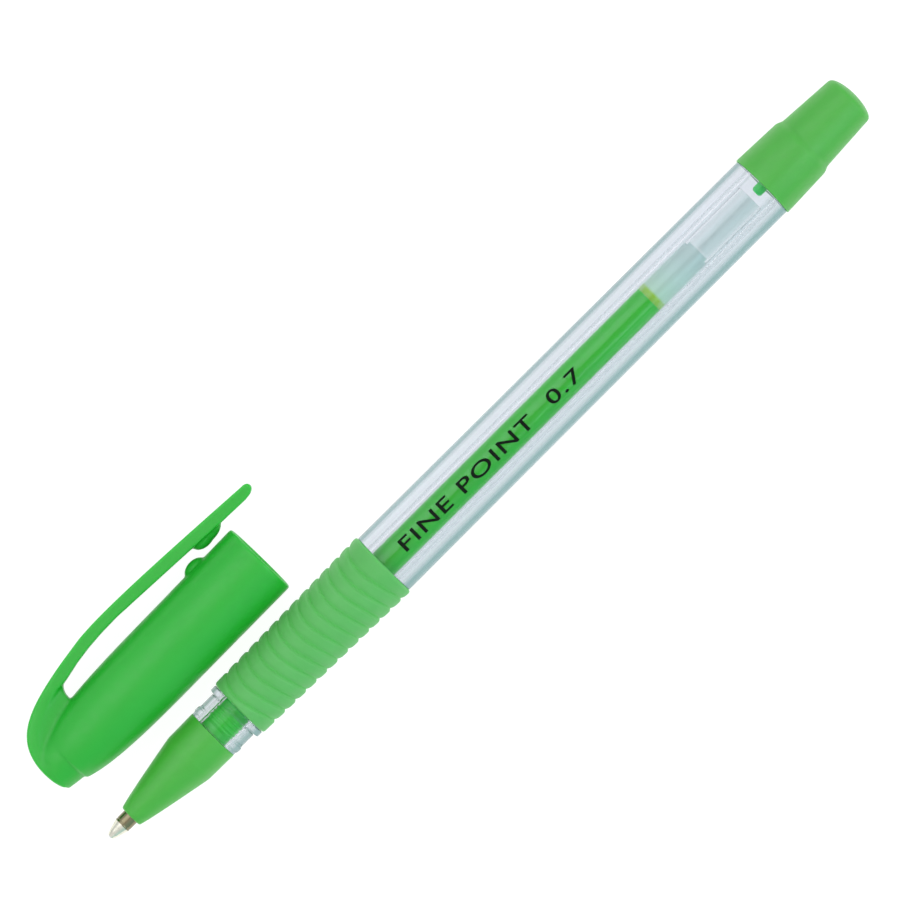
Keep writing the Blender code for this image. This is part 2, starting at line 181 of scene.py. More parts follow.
class Shader:
    """A material's node tree, with short calls for the nodes used here."""

    def __init__(self, name):
        self.material = bpy.data.materials.new(name)
        self.material.use_nodes = True
        self.nodes = self.material.node_tree.nodes
        self.links = self.material.node_tree.links
        self.body = self.nodes["Principled BSDF"]
        self.output = self.nodes["Material Output"]
        self.place = self.nodes.new("ShaderNodeTexCoord").outputs["Object"]

    def link(self, source, target):
        self.links.new(source, target)

    def node(self, kind, inputs=None, **settings):
        made = self.nodes.new(kind)
        for key, value in settings.items():
            setattr(made, key, value)
        for key, value in (inputs or {}).items():
            if isinstance(value, bpy.types.NodeSocket):
                self.link(value, made.inputs[key])
            else:
                made.inputs[key].default_value = value
        return made

    def stretched(self, scale):
        return self.node("ShaderNodeMapping", {"Vector": self.place, "Scale": scale}).outputs[0]

    def noise(self, scale, detail=3.0, roughness=0.5, vector=None):
        inputs = {"Vector": vector or self.place, "Scale": scale, "Detail": detail, "Roughness": roughness}
        return self.node("ShaderNodeTexNoise", inputs).outputs["Fac"]

    def ramp(self, factor, stops):
        made = self.node("ShaderNodeValToRGB", {"Fac": factor})
        elements = made.color_ramp.elements
        while len(elements) < len(stops):
            elements.new(0.5)
        for element, (position, color) in zip(elements, stops):
            element.position = position
            element.color = color if len(color) == 4 else (*color, 1.0)
        return made.outputs["Color"]

    def number(self, factor, low, high, start=0.0, end=1.0):
        inputs = {"Value": factor, "From Min": start, "From Max": end, "To Min": low, "To Max": high}
        return self.node("ShaderNodeMapRange", inputs).outputs["Result"]

    def math(self, operation, first, second=0.0):
        made = self.node("ShaderNodeMath", {0: first, 1: second}, operation=operation)
        return made.outputs[0]

    def axis(self, name):
        """The place along one of the piece's own axes."""
        return self.node("ShaderNodeSeparateXYZ", {0: self.place}).outputs[name]

    def radius(self):
        """The distance from the piece's X axis."""
        flat = self.node("ShaderNodeVectorMath", {0: self.place, 1: (0.0, 1.0, 1.0)}, operation="MULTIPLY")
        length = self.node("ShaderNodeVectorMath", {0: flat.outputs[0]}, operation="LENGTH")
        return length.outputs["Value"]

    def mix(self, factor, first, second):
        """A mix of two colours, each a socket or a plain RGB."""
        colors = [c if isinstance(c, bpy.types.NodeSocket) else (*c, 1.0) for c in (first, second)]
        inputs = {0: factor, 6: colors[0], 7: colors[1]}
        return self.node("ShaderNodeMix", inputs, data_type="RGBA").outputs[2]

    def bump(self, height, strength, distance):
        inputs = {"Height": height, "Strength": strength, "Distance": distance}
        return self.node("ShaderNodeBump", inputs).outputs["Normal"]

    def set(self, **values):
        for key, value in values.items():
            socket = self.body.inputs[key.replace("_", " ")]
            if isinstance(value, bpy.types.NodeSocket):
                self.link(value, socket)
            else:
                socket.default_value = value

    def clear_to_lamps(self, tint, surface):
        """Lets lamps shine straight through, which keeps what is inside well lit."""
        shadow = self.node("ShaderNodeLightPath").outputs["Is Shadow Ray"]
        through = self.node("ShaderNodeBsdfTransparent", {"Color": (*tint, 1.0)}).outputs[0]
        mixed = self.node("ShaderNodeMixShader", {0: shadow, 1: surface, 2: through})
        self.link(mixed.outputs[0], self.output.inputs["Surface"])


def moulded_plastic(name, low, high, roughness=0.42, seen_through=None):
    """Satin injection-moulded plastic: flow variation in colour, fine texture, a few rubbed spots.

    thin gives a first and last station in millimetres, and the brighter tones at the two, which are painted
    light against the shade of the clear barrel around that band.
    """
    s = Shader(name)
    flow = s.noise(90.0, 2.0, 0.5, s.stretched((0.35, 1.0, 1.0)))
    color = s.ramp(flow, [(0.3, low), (0.7, high)])
    # Painted light: a band of brighter tones between two stations, where the clear barrel shades the piece.
    if seen_through:
        first, last, front_tone, rear_tone = seen_through
        along = s.axis("X")
        begun = s.number(along, 0.0, 1.0, first * MM, (first + 0.1) * MM)
        left = s.number(along, 1.0, 0.0, (last - 0.1) * MM, last * MM)
        tone = s.mix(s.number(along, 0.0, 1.0, (last - 1.2) * MM, (last - 0.5) * MM), front_tone, rear_tone)
        color = s.mix(s.math("MULTIPLY", begun, left), color, tone)
    fine = s.noise(9000.0, 2.0)
    rubbed = s.noise(700.0, 4.0, 0.6)
    s.set(
        Base_Color=color,
        Roughness=s.number(rubbed, roughness - 0.05, roughness + 0.08, 0.35, 0.65),
        Normal=s.bump(fine, 0.08, 0.00002),
        IOR=1.5,
        Specular_IOR_Level=0.6,
        Subsurface_Weight=0.5,
        Subsurface_Radius=(0.5, 1.0, 0.5),
        Subsurface_Scale=0.002,
    )
    return s.material


def soft_rubber(name, low, high, groove, ends):
    """Matte rubber: dusty sheen, fine grain, and a lighter tone down in the grooves, painted light that
    offsets the shade there.

    ends gives the front and rear stations and the ribs' radii there, in millimetres.
    """
    s = Shader(name)
    cloud = s.noise(260.0, 4.0, 0.55)
    grain = s.noise(14000.0, 3.0, 0.6)
    front, rear, front_r, rear_r = (end * MM for end in ends)
    along = s.axis("X")
    below = s.math("SUBTRACT", s.number(along, front_r, rear_r, front, rear), s.radius())
    # Painted light: the deeper a spot lies in a groove, the more of the lighter groove tone it gets.
    deep = s.number(below, 0.0, 1.0, 0.05 * MM, GROOVE_DEPTH * MM)
    s.set(
        Base_Color=s.mix(deep, s.ramp(cloud, [(0.3, low), (0.7, high)]), groove),
        Roughness=s.number(grain, 0.5, 0.62),
        Normal=s.bump(grain, 0.2, 0.00004),
        IOR=1.45,
        Sheen_Weight=0.06,
        Sheen_Roughness=0.5,
        Subsurface_Weight=0.4,
        Subsurface_Radius=(0.5, 1.0, 0.5),
        Subsurface_Scale=0.0015,
    )
    return s.material


def clear_plastic(name, tint, roughness, ior):
    """Clear polished plastic with slow moulding waves and hairline scratches."""
    s = Shader(name)
    waves = s.noise(60.0, 2.0, 0.5, s.stretched((0.15, 1.0, 1.0)))
    hair = s.noise(5000.0, 2.0, 0.6, s.stretched((0.04, 1.0, 1.0)))
    s.set(
        Base_Color=s.ramp(waves, [(0.3, tint), (0.7, tuple(min(1.0, c * 1.02) for c in tint))]),
        Roughness=s.number(hair, roughness, roughness + 0.01, 0.5, 0.8),
        IOR=ior,
        Specular_IOR_Level=0.3,
        Transmission_Weight=1.0,
    )
    return s


def clear_barrel(name, tint, bore_r, outer_r):
    """The barrel's plastic: more of its own colour near its edges, with painted teal reflection and shade
    there, painted strongest on the pen's outer side.
    """
    s = clear_plastic(name, tint, 0.0, BARREL_IOR)
    facing = s.node("ShaderNodeLayerWeight", {"Blend": 0.5}).outputs["Facing"]
    upper = s.ramp(facing, [(at, (level,) * 3) for at, level in UPPER_EDGE])
    lower = s.ramp(facing, [(at, (level,) * 3) for at, level in LOWER_EDGE])
    # Painted shade and reflection: the edge tone is made stronger on the pen's -Y side than on its +Y side.
    across = s.axis("Y")
    side = s.number(across, 1.0, 0.0, -1.5 * MM, 1.5 * MM)
    both = s.node("ShaderNodeMix", {0: side, 2: upper, 3: lower}).outputs[0]
    outer = s.number(s.radius(), 0.1, 1.0, (bore_r + 0.2) * MM, (outer_r - 0.6) * MM)
    edge_tone_and_painted_shade = s.math("MULTIPLY", both, s.number(outer, 0.35, 1.0, 0.1, 1.0))
    skin = s.body.inputs["Base Color"].links[0].from_socket
    s.set(Base_Color=s.mix(outer, (1.0, 1.0, 1.0), skin))
    # The edge tone is a teal diffuse layer: partly the plastic's own colour, partly painted reflection and
    # shade.
    tinted = s.node("ShaderNodeBsdfDiffuse", {"Color": (*BARREL_EDGE, 1.0)}).outputs[0]
    mixed = s.node("ShaderNodeMixShader", {0: edge_tone_and_painted_shade, 1: s.body.outputs[0], 2: tinted}).outputs[0]
    s.clear_to_lamps(tuple(c ** 0.25 for c in tint), mixed)
    return s.material


def wiped_tube(name, film_from):
    """The refill's tube: clear, with a streak of grey film along its wall behind the grease."""
    s = clear_plastic(name, TUBE_TINT, 0.08, TUBE_IOR)
    behind = s.number(s.axis("X"), 0.0, 1.0, (film_from - 0.3) * MM, (film_from + 0.5) * MM)
    streaks = s.noise(1500.0, 3.0, 0.5, s.stretched((0.1, 1.0, 1.0)))
    patchy = s.math("MULTIPLY", behind, s.number(streaks, 0.7, 1.0, 0.35, 0.65))
    away = s.math("ABSOLUTE", s.math("ADD", s.axis("Y"), 0.3 * MM))
    amount = s.math("MULTIPLY", patchy, s.number(away, 1.0, 0.2, 0.5 * MM, 1.3 * MM))
    s.set(Base_Color=s.mix(amount, TUBE_TINT, TUBE_FILM))
    s.clear_to_lamps((0.99, 1.0, 0.99), s.body.outputs[0])
    return s.material


def gel_ink(name, low, high):
    s = Shader(name)
    cloud = s.noise(120.0, 3.0, 0.5, s.stretched((0.3, 1.0, 1.0)))
    s.set(
        Base_Color=s.ramp(cloud, [(0.3, low), (0.7, high)]),
        Roughness=s.number(cloud, 0.5, 0.6),
        IOR=1.36,
        Specular_IOR_Level=0.1,
    )
    return s.material


def milky_grease(name, length):
    """Grease: a yellow-green meniscus at its front face, then a cloudy body that clears to grey."""
    s = Shader(name)
    along = s.number(s.axis("X"), 0.0, 1.0, 0.0, length)
    body = s.ramp(
        along,
        [
            (0.0, (0.34, 0.68, 0.05)),
            (0.08, (0.46, 0.76, 0.06)),
            (0.12, (0.68, 0.9, 0.74)),
            (0.5, (0.72, 0.88, 0.82)),
            (1.0, (0.7, 0.8, 0.8)),
        ],
    )
    streaks = s.noise(900.0, 4.0, 0.55, s.stretched((0.5, 1.0, 1.0)))
    veil = s.number(streaks, 0.0, 0.3, 0.45, 0.7)
    whiter = s.mix(veil, body, (0.85, 0.93, 0.88))
    s.set(
        Base_Color=whiter,
        Roughness=s.number(streaks, 0.3, 0.45),
        IOR=1.42,
        Specular_IOR_Level=0.15,
        Transmission_Weight=s.number(along, 0.0, 0.3, 0.09, 0.2),
    )
    s.clear_to_lamps((0.8, 0.92, 0.82), s.body.outputs[0])
    return s.material


def turned_metal(name, color, darker_tone, darker_from, roughness):
    """Lathe-turned metal: rings of tool marks, slight tarnish, and a darker shank colour behind a station."""
    s = Shader(name)
    rings = s.noise(16000.0, 3.0, 0.6, s.stretched((1.0, 0.02, 0.02)))
    tarnish = s.noise(1500.0, 3.0, 0.6)
    along = s.axis("X")
    shank = s.number(along, 0.0, 1.0, darker_from * MM, (darker_from + 0.1) * MM)
    dark = tuple(c * 0.85 for c in color)
    bright = s.ramp(tarnish, [(0.35, dark), (0.6, color)])
    shank_toned = s.mix(shank, bright, darker_tone)
    s.set(
        Base_Color=shank_toned,
        Metallic=1.0,
        Roughness=s.number(rings, roughness - 0.04, roughness + 0.1),
        Normal=s.bump(rings, 0.25, 0.000006),
    )
    return s.material


def holder_plastic(name):
    s = Shader(name)
    cloud = s.noise(400.0, 3.0)
    s.set(
        Base_Color=s.ramp(cloud, [(0.3, (0.72, 0.76, 0.72)), (0.7, (0.84, 0.86, 0.83))]),
        Roughness=s.number(cloud, 0.35, 0.5),
        Normal=s.bump(s.noise(8000.0), 0.15, 0.00003),
        IOR=1.5,
        Subsurface_Weight=0.3,
        Subsurface_Radius=(1.0, 1.0, 1.0),
        Subsurface_Scale=0.0008,
    )
    return s.material


def print_ink(name):
    """Pad-printed ink: near black, slightly uneven."""
    s = Shader(name)
    patchy = s.noise(3000.0, 4.0, 0.6)
    s.set(
        Base_Color=s.ramp(patchy, [(0.3, (0.002, 0.004, 0.002)), (0.75, (0.008, 0.014, 0.008))]),
        Roughness=s.number(patchy, 0.6, 0.8),
        Normal=s.bump(patchy, 0.2, 0.00001),
        Specular_IOR_Level=0.1,
    )
    return s.material


# ---------------------------------------------------------------- pen pieces


CAP_GREEN = ((0.007, 0.415, 0.02), (0.017, 0.438, 0.027))
PEN_GREEN = ((0.055, 0.415, 0.035), (0.068, 0.435, 0.042))
PLUG_GREEN = ((0.062, 0.4, 0.042), (0.076, 0.42, 0.05))
GRIP_GREEN = ((0.1, 0.445, 0.1), (0.118, 0.465, 0.118))
# Painted light: a lighter green for the grip's grooves, offsetting the shade that falls in them.
GROOVE_PAINTED_LIGHT_GREEN = (0.108, 0.525, 0.105)
# Painted light: the spigot's greens are brightened against the shade under the clear collar, most at the rear
# under the grip.
SPIGOT_PAINTED_LIGHT_GREENS = ((0.015, 0.56, 0.025), (0.01, 0.85, 0.05))
# Painted light: brighter greens for the plug's pin, against the shade of the barrel around it.
PIN_PAINTED_LIGHT_GREENS = ((0.03, 0.62, 0.12), (0.03, 0.7, 0.1))
INK_GREEN = ((0.034, 0.67, 0.03), (0.046, 0.7, 0.038))
METAL = (0.86, 0.83, 0.7)
DARK_SHANK_METAL = (0.26, 0.23, 0.14)
CARBIDE = (0.95, 0.95, 0.95)
DARKER_CARBIDE = (0.8, 0.8, 0.8)
BARREL_TINT = (0.7, 0.73, 0.79)
# The barrel's edge tone: partly the plastic's own colour, partly painted teal reflection and shade.
BARREL_EDGE = (0.26, 0.4, 0.39)
TUBE_TINT = (0.97, 0.99, 0.98)
TUBE_FILM = (0.74, 0.83, 0.81)
BARREL_IOR = 1.3
TUBE_IOR = 1.49

# How much of the barrel's edge tone shows at each facing value, on its +Y and its -Y side; the stronger -Y
# tone is painted shade and reflection.
UPPER_EDGE = [(0.38, 0.0), (0.49, 0.35), (0.6, 0.8), (0.8, 0.4)]
LOWER_EDGE = [(0.2, 0.0), (0.28, 0.2), (0.41, 0.6), (0.49, 0.85), (0.6, 0.8), (0.8, 0.5)]

COLLAR_R = 3.78
BORE_R = 2.3
NECK_R = 3.4
FLANGE_R = 4.3
SEAT_R = 3.75
GRIP_BORE_R = 3.85
GRIP_TAPER = 0.5
SPIGOT_R = 2.1
SECTION_BORE_R = 1.72
THREAD_RINGS = 4
THREAD_PITCH = 0.62
PLUG_NOSE = 1.3
PLUG_DEPTH = 7.3
PIN_R = 0.75
TUBE_WALL = 0.35
METAL_STEP = 2.3
BARREL_TAPER = 0.15


def barrel():
    """The clear barrel: collar with its snap ring, flange, seat, long tapered body and neck."""
    front, rear = station("barrel")
    grip_front, grip_rear = station("grip_sleeve")
    plug_front = station("end_plug")[0] + PLUG_NOSE
    body_r = half_height("barrel")
    flange_front = grip_front - 0.95
    flange_rear = grip_front - 0.1
    shoulder = grip_rear + 0.03
    outline = [
        (front, BORE_R),
        (front, COLLAR_R),
        (front + 0.35, COLLAR_R, True),
        (front + 0.55, COLLAR_R + 0.14, True),
        (front + 1.15, COLLAR_R + 0.14, True),
        (front + 1.4, COLLAR_R - 0.03, True),
        (flange_front - 0.2, COLLAR_R - 0.03, True),
        (flange_front - 0.14, COLLAR_R - 0.18, True),
        (flange_front, COLLAR_R - 0.15, True),
        (flange_front, FLANGE_R, True),
        (flange_rear, FLANGE_R, True),
        (flange_rear, SEAT_R),
        (shoulder, SEAT_R),
        (shoulder, body_r, True),
        (plug_front - 0.03, body_r - BARREL_TAPER, True),
        (plug_front - 0.03, NECK_R),
        (rear - 0.3, NECK_R),
        (rear, NECK_R - 0.3),
        (rear, BORE_R + 0.1),
        (rear - 0.1, BORE_R),
    ]
    material = clear_barrel("clear_barrel_look", BARREL_TINT, BORE_R, body_r)
    piece = make_piece(turned(rounded(outline, 0.12)), "clear_barrel", PEN_PLACE, material)
    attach(piece, "pen_body")
    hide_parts("barrel")


GROOVES = 13
GROOVE_PITCH = 1.895
FIRST_GROOVE = 2.25
GROOVE_DEPTH = 0.28
WAVE = 1.27


def grip_wave(angle):
    """How far a groove swings towards the tip; the wave repeats on the far side."""
    turn = (angle % math.pi) / math.pi
    return -WAVE * max(0.0, math.sin(math.pi * turn ** 0.712)) ** 2.2


def grip_sleeve():
    """Ribbed sleeve: each rib rises gently from a groove and rounds off over the next one."""
    front, rear = station("grip_sleeve")
    rear_r = half_height("grip_sleeve")
    front_r = rear_r - GRIP_TAPER

    def radius(x):
        return front_r + (rear_r - front_r) * (x - front) / (rear - front)

    rib = [(0.0, 1.0), (0.04, 0.92), (0.09, 0.66), (0.16, 0.4), (0.25, 0.19), (0.37, 0.06), (0.52, 0.0)]
    rib += [(0.72, 0.0), (0.8, 0.05), (0.86, 0.2), (0.91, 0.46), (0.95, 0.74), (0.98, 0.93)]
    outline = [(front, GRIP_BORE_R), (front, radius(front) - 0.3), (front + 0.08, radius(front) - 0.12)]
    outline.append((front + 0.3, radius(front) - 0.02))
    shifts = [None] * len(outline)
    for k in range(GROOVES):
        for along, depth in rib:
            if k == 0 and along == 0.0:
                for lead, shallow in (
                    (-0.2, 0.05),
                    (-0.14, 0.2),
                    (-0.09, 0.46),
                    (-0.05, 0.74),
                    (-0.02, 0.93),
                ):
                    x = front + FIRST_GROOVE + lead * GROOVE_PITCH
                    outline.append((x, radius(x) - shallow * GROOVE_DEPTH))
                    shifts.append(grip_wave)
            x = front + FIRST_GROOVE + (k + along) * GROOVE_PITCH
            if x > rear - 0.35:
                break
            outline.append((x, radius(x) - depth * GROOVE_DEPTH))
            last = k == GROOVES - 1 and along > 0.4
            shifts.append(None if last else grip_wave)
    outline += [(rear - 0.3, rear_r - 0.01), (rear - 0.1, rear_r - 0.1), (rear, rear_r - 0.3)]
    outline.append((rear, GRIP_BORE_R))
    shifts += [None] * 4
    look_ends = (front, rear, front_r, rear_r)
    material = soft_rubber("soft_grip_look", *GRIP_GREEN, GROOVE_PAINTED_LIGHT_GREEN, look_ends)
    piece = make_piece(turned(outline, 160, shifts), "ribbed_grip", PEN_PLACE, material, None)
    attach(piece, "pen_body")
    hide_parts("grip_sleeve")


def front_section():
    """Cone with a soft shoulder, and a spigot with thread rings that shows through the collar."""
    front, rear = station("front_section")
    collar_front = station("barrel")[0]
    edge_r = half_height("front_section")
    taper = bezier((front + 0.08, 1.61), (5.0, 1.95), (9.5, 2.83), (14.3, edge_r - 0.1), 20)
    outline = [
        (front + 0.15, 1.3),
        (front, 1.42),
        (front, 1.5),
        *taper,
        (14.7, edge_r - 0.05, True),
        (collar_front - 0.04, edge_r, True),
        (collar_front - 0.04, SPIGOT_R),
        (collar_front + 0.7, SPIGOT_R, True),
    ]
    for k in range(THREAD_RINGS):
        ring = collar_front + 0.95 + THREAD_PITCH * k
        outline.append((ring, SPIGOT_R, True))
        outline.append((ring + 0.12, SPIGOT_R + 0.13, True))
        outline.append((ring + 0.24, SPIGOT_R + 0.13, True))
        outline.append((ring + 0.36, SPIGOT_R, True))
    outline += [(rear - 0.2, SPIGOT_R), (rear, SPIGOT_R - 0.12), (rear, SECTION_BORE_R)]
    outline += [(8.6, SECTION_BORE_R), (8.3, 1.3)]
    grip_front = station("grip_sleeve")[0]
    # Painted light on the spigot, brightest at its rear, where the grip shades it.
    seen_through = (collar_front, grip_front + 0.3, *SPIGOT_PAINTED_LIGHT_GREENS)
    material = moulded_plastic("green_section_look", *PEN_GREEN, seen_through=seen_through)
    piece = make_piece(turned(rounded(outline, 0.12)), "section_cone", PEN_PLACE, material)
    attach(piece, "section")
    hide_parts("front_section")


def end_plug():
    """Plug: slightly tapered skirt, soft step, tapered end, crisp rim and a centre pin."""
    front, rear = station("end_plug")
    skirt_front = front + PLUG_NOSE
    skirt_r = half_height("end_plug")
    step = skirt_front + 6.95
    rim = rear - 1.15
    rim_r = 3.64
    dome = arc((rim - 0.02, 0.0), (1.17, rim_r - 0.04), 84.0, 0.0, 16)[:-1]
    outline = [
        (rear, 0.0),
        *reversed(dome),
        (rim - 0.08, rim_r, True),
        (step + 1.3, 4.1),
        *bezier((step + 1.1, 4.12), (step + 0.7, 4.16), (step + 0.45, 4.44), (step - 0.1, 4.5), 8),
        (skirt_front, skirt_r, True),
        (skirt_front, NECK_R + 0.05),
        (skirt_front + PLUG_DEPTH, NECK_R + 0.05),
        (skirt_front + PLUG_DEPTH, PIN_R + 0.1),
        (front + 0.25, PIN_R, True),
        (front, 0.5, True),
        (front, 0.0),
    ]
    # Painted light on the pin, against the shade of the barrel around it.
    seen_through = (front - 1.0, skirt_front, *PIN_PAINTED_LIGHT_GREENS)
    material = moulded_plastic("green_plug_look", *PLUG_GREEN, seen_through=seen_through)
    piece = make_piece(turned(rounded(outline, 0.1)), "plug_moulding", PEN_PLACE, material, 30.0)
    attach(piece, "plug")
    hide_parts("end_plug")


def refill():
    """Tube, ink that wets its wall, and the grease behind the ink."""
    front, rear = station("refill_tube")
    tube_r = half_height("refill_tube")
    bore_r = tube_r - TUBE_WALL
    outline = rounded(
        [
            (front, bore_r),
            (front, tube_r, True),
            (rear, tube_r, True),
            (rear, bore_r),
        ],
        0.06,
    )
    material = wiped_tube("clear_refill_look", station("follower_grease")[1])
    tube = make_piece(turned(outline, 96), "refill_barrel", PEN_PLACE, material)
    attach(tube, "refill")
    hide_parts("refill_tube")

    wet_r = bore_r + 0.004
    front, rear = station("ink_column")
    rows = 24
    ink_outline = [(front, 0.0), (front, wet_r - 0.1)]
    ink_outline += [(front + 0.1 + (rear - 0.1 - front) * k / rows, wet_r) for k in range(rows + 1)]
    ink_outline += [(rear, 0.0)]
    ink_look = gel_ink("gel_ink_look", *INK_GREEN)
    ink = make_piece(turned(ink_outline, 96), "ink_fill", PEN_PLACE, ink_look)
    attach(ink, "refill")
    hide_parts("ink_column")
    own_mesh(ink)

    front, rear = station("follower_grease")
    length = rear - front
    grease_outline = [(-0.09, 0.0), (-0.09, wet_r), (length - 0.5, wet_r)]
    grease_outline += [(length, wet_r - 0.05), (length - 0.9, wet_r * 0.6), (length - 1.2, 0.0)]
    place = PEN_PLACE @ Matrix.Translation((front * MM, 0.0, 0.0))
    look = milky_grease("grease_look", length * MM)
    grease = make_piece(turned(grease_outline, 96), "grease_fill", place, look)
    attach(grease, "follower")
    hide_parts("follower_grease")


def tip():
    """The turned metal tip with its rolled rim and step, and the ball it holds."""
    ball_r = half_height("writing_ball")
    shank_r = half_height("tip_housing")
    rear = station("tip_housing")[1]
    rim = ball_r * 0.55
    outline = [
        (rim, ball_r - 0.015),
        (rim, ball_r + 0.05, True),
        (0.42, 0.52, True),
        (0.8, 0.7, True),
        (METAL_STEP, shank_r - 0.02, True),
        (2.42, shank_r, True),
        (2.5, shank_r, True),
        (2.56, shank_r - 0.04, True),
        (2.66, shank_r - 0.04, True),
        (2.72, shank_r, True),
        (8.85, shank_r),
        (8.85, shank_r - 0.2),
        (rear, shank_r - 0.2),
        (rear, 0.5),
        (2.6, 0.5),
        (1.6, 0.2),
        (ball_r * 2 + 0.05, 0.2),
        (ball_r * 2 - 0.05, ball_r + 0.03),
        (rim + 0.12, ball_r + 0.03),
    ]
    metal = turned_metal("nickel_silver_look", METAL, DARK_SHANK_METAL, METAL_STEP, 0.2)
    housing = make_piece(turned(rounded(outline, 0.1), 96), "metal_tip", PEN_PLACE, metal, 30.0)
    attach(housing, "refill")
    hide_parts("tip_housing")

    points = arc((ball_r, 0.0), (ball_r, ball_r), 180.0, 0.0, 24)
    ball_outline = [(points[0][0], 0.0), *points[1:-1], (points[-1][0], 0.0)]
    ball_metal = turned_metal("carbide_look", CARBIDE, DARKER_CARBIDE, METAL_STEP, 0.12)
    ball = make_piece(turned(ball_outline, 48), "ball", PEN_PLACE, ball_metal, None)
    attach(ball, "ball")
    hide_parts("writing_ball")


def tip_holder():
    frame["nodes"]["tip_holder"].data.materials[0] = holder_plastic("holder_look")


# ---------------------------------------------------------------- cap


CLIP_WIDTH = 4.2
CLIP_THICKNESS = 1.62
CLIP_TAPER = 0.25
CLIP_BEND = -24.0
CREST_FLARE = 0.7
CREST_FLARE_FROM = -34.0
CAP_END_R = 3.4
CAP_BORE_R = 4.45
CAP_SIDES = 192
HOOD_RISE = 0.35
SKIN_VOXEL = 0.13
SOFTEN_ALL = 8
SOFTEN_ROOT = 60


def clamped(value):
    return max(0.0, min(1.0, value))


def add_plate(bm, outline, half):
    """Adds a closed slab with an XY outline. half gives its half width at an X."""
    low = []
    high = []
    for x, y in outline:
        reach = half(x)
        low.append(bm.verts.new((x, y, -reach)))
        high.append(bm.verts.new((x, y, reach)))
    bm.faces.new(low)
    bm.faces.new(high[::-1])
    for k in range(len(outline)):
        after = (k + 1) % len(outline)
        bm.faces.new((low[k], high[k], high[after], low[after]))


def add_ellipsoid(bm, center, radii):
    made = bmesh.ops.create_icosphere(bm, subdivisions=4, radius=1.0)
    place = Matrix.Translation(center) @ Matrix.Diagonal((*radii, 1.0))
    bmesh.ops.transform(bm, matrix=place, verts=made["verts"])


def inward(points, thickness):
    moved = []
    for k, point in enumerate(points):
        before = Vector(points[max(k - 1, 0)])
        after = Vector(points[min(k + 1, len(points) - 1)])
        run = (after - before).normalized()
        moved.append((point[0] + thickness * run.y, point[1] - thickness * run.x))
    return moved


def crest_half(x, y=5.0):
    """The strap's half width: wider as it flows over the closed end, narrower at the clip's tip."""
    flare = clamped((CREST_FLARE_FROM - x) / 5.8)
    taper = clamped((x - CLIP_BEND) / 29.0)
    below = math.sqrt(1.0 - (min(0.0, y) / CAP_END_R) ** 2)
    return (CLIP_WIDTH / 2 + CREST_FLARE * flare - CLIP_TAPER * taper) * below


def web_half(x):
    """The web's half width: nearly as wide as the strap towards the closed end."""
    return 1.45 + 1.15 * clamped((-31.0 - x) / 6.0)


def add_strip(bm, outer, inner):
    """Adds a strap between two XY curves of the same count."""
    rows = []
    for top, under in zip(outer, inner):
        half = crest_half(*top)
        corners = [(*top, -half), (*top, half), (*under, half), (*under, -half)]
        rows.append([bm.verts.new(corner) for corner in corners])
    for near, far in zip(rows, rows[1:]):
        for k in range(4):
            after = (k + 1) % 4
            bm.faces.new((near[k], near[after], far[after], far[k]))
    bm.faces.new(rows[0])
    bm.faces.new(rows[-1])


def add_turned(bm, outline, rise):
    """Adds a turned body whose axis is raised towards the clip."""
    made = turned(outline, CAP_SIDES)
    bmesh.ops.translate(made, verts=made.verts, vec=(0.0, rise, 0.0))
    mesh = bpy.data.meshes.new("turned_part")
    made.to_mesh(mesh)
    made.free()
    bm.from_mesh(mesh)
    bpy.data.meshes.remove(mesh)


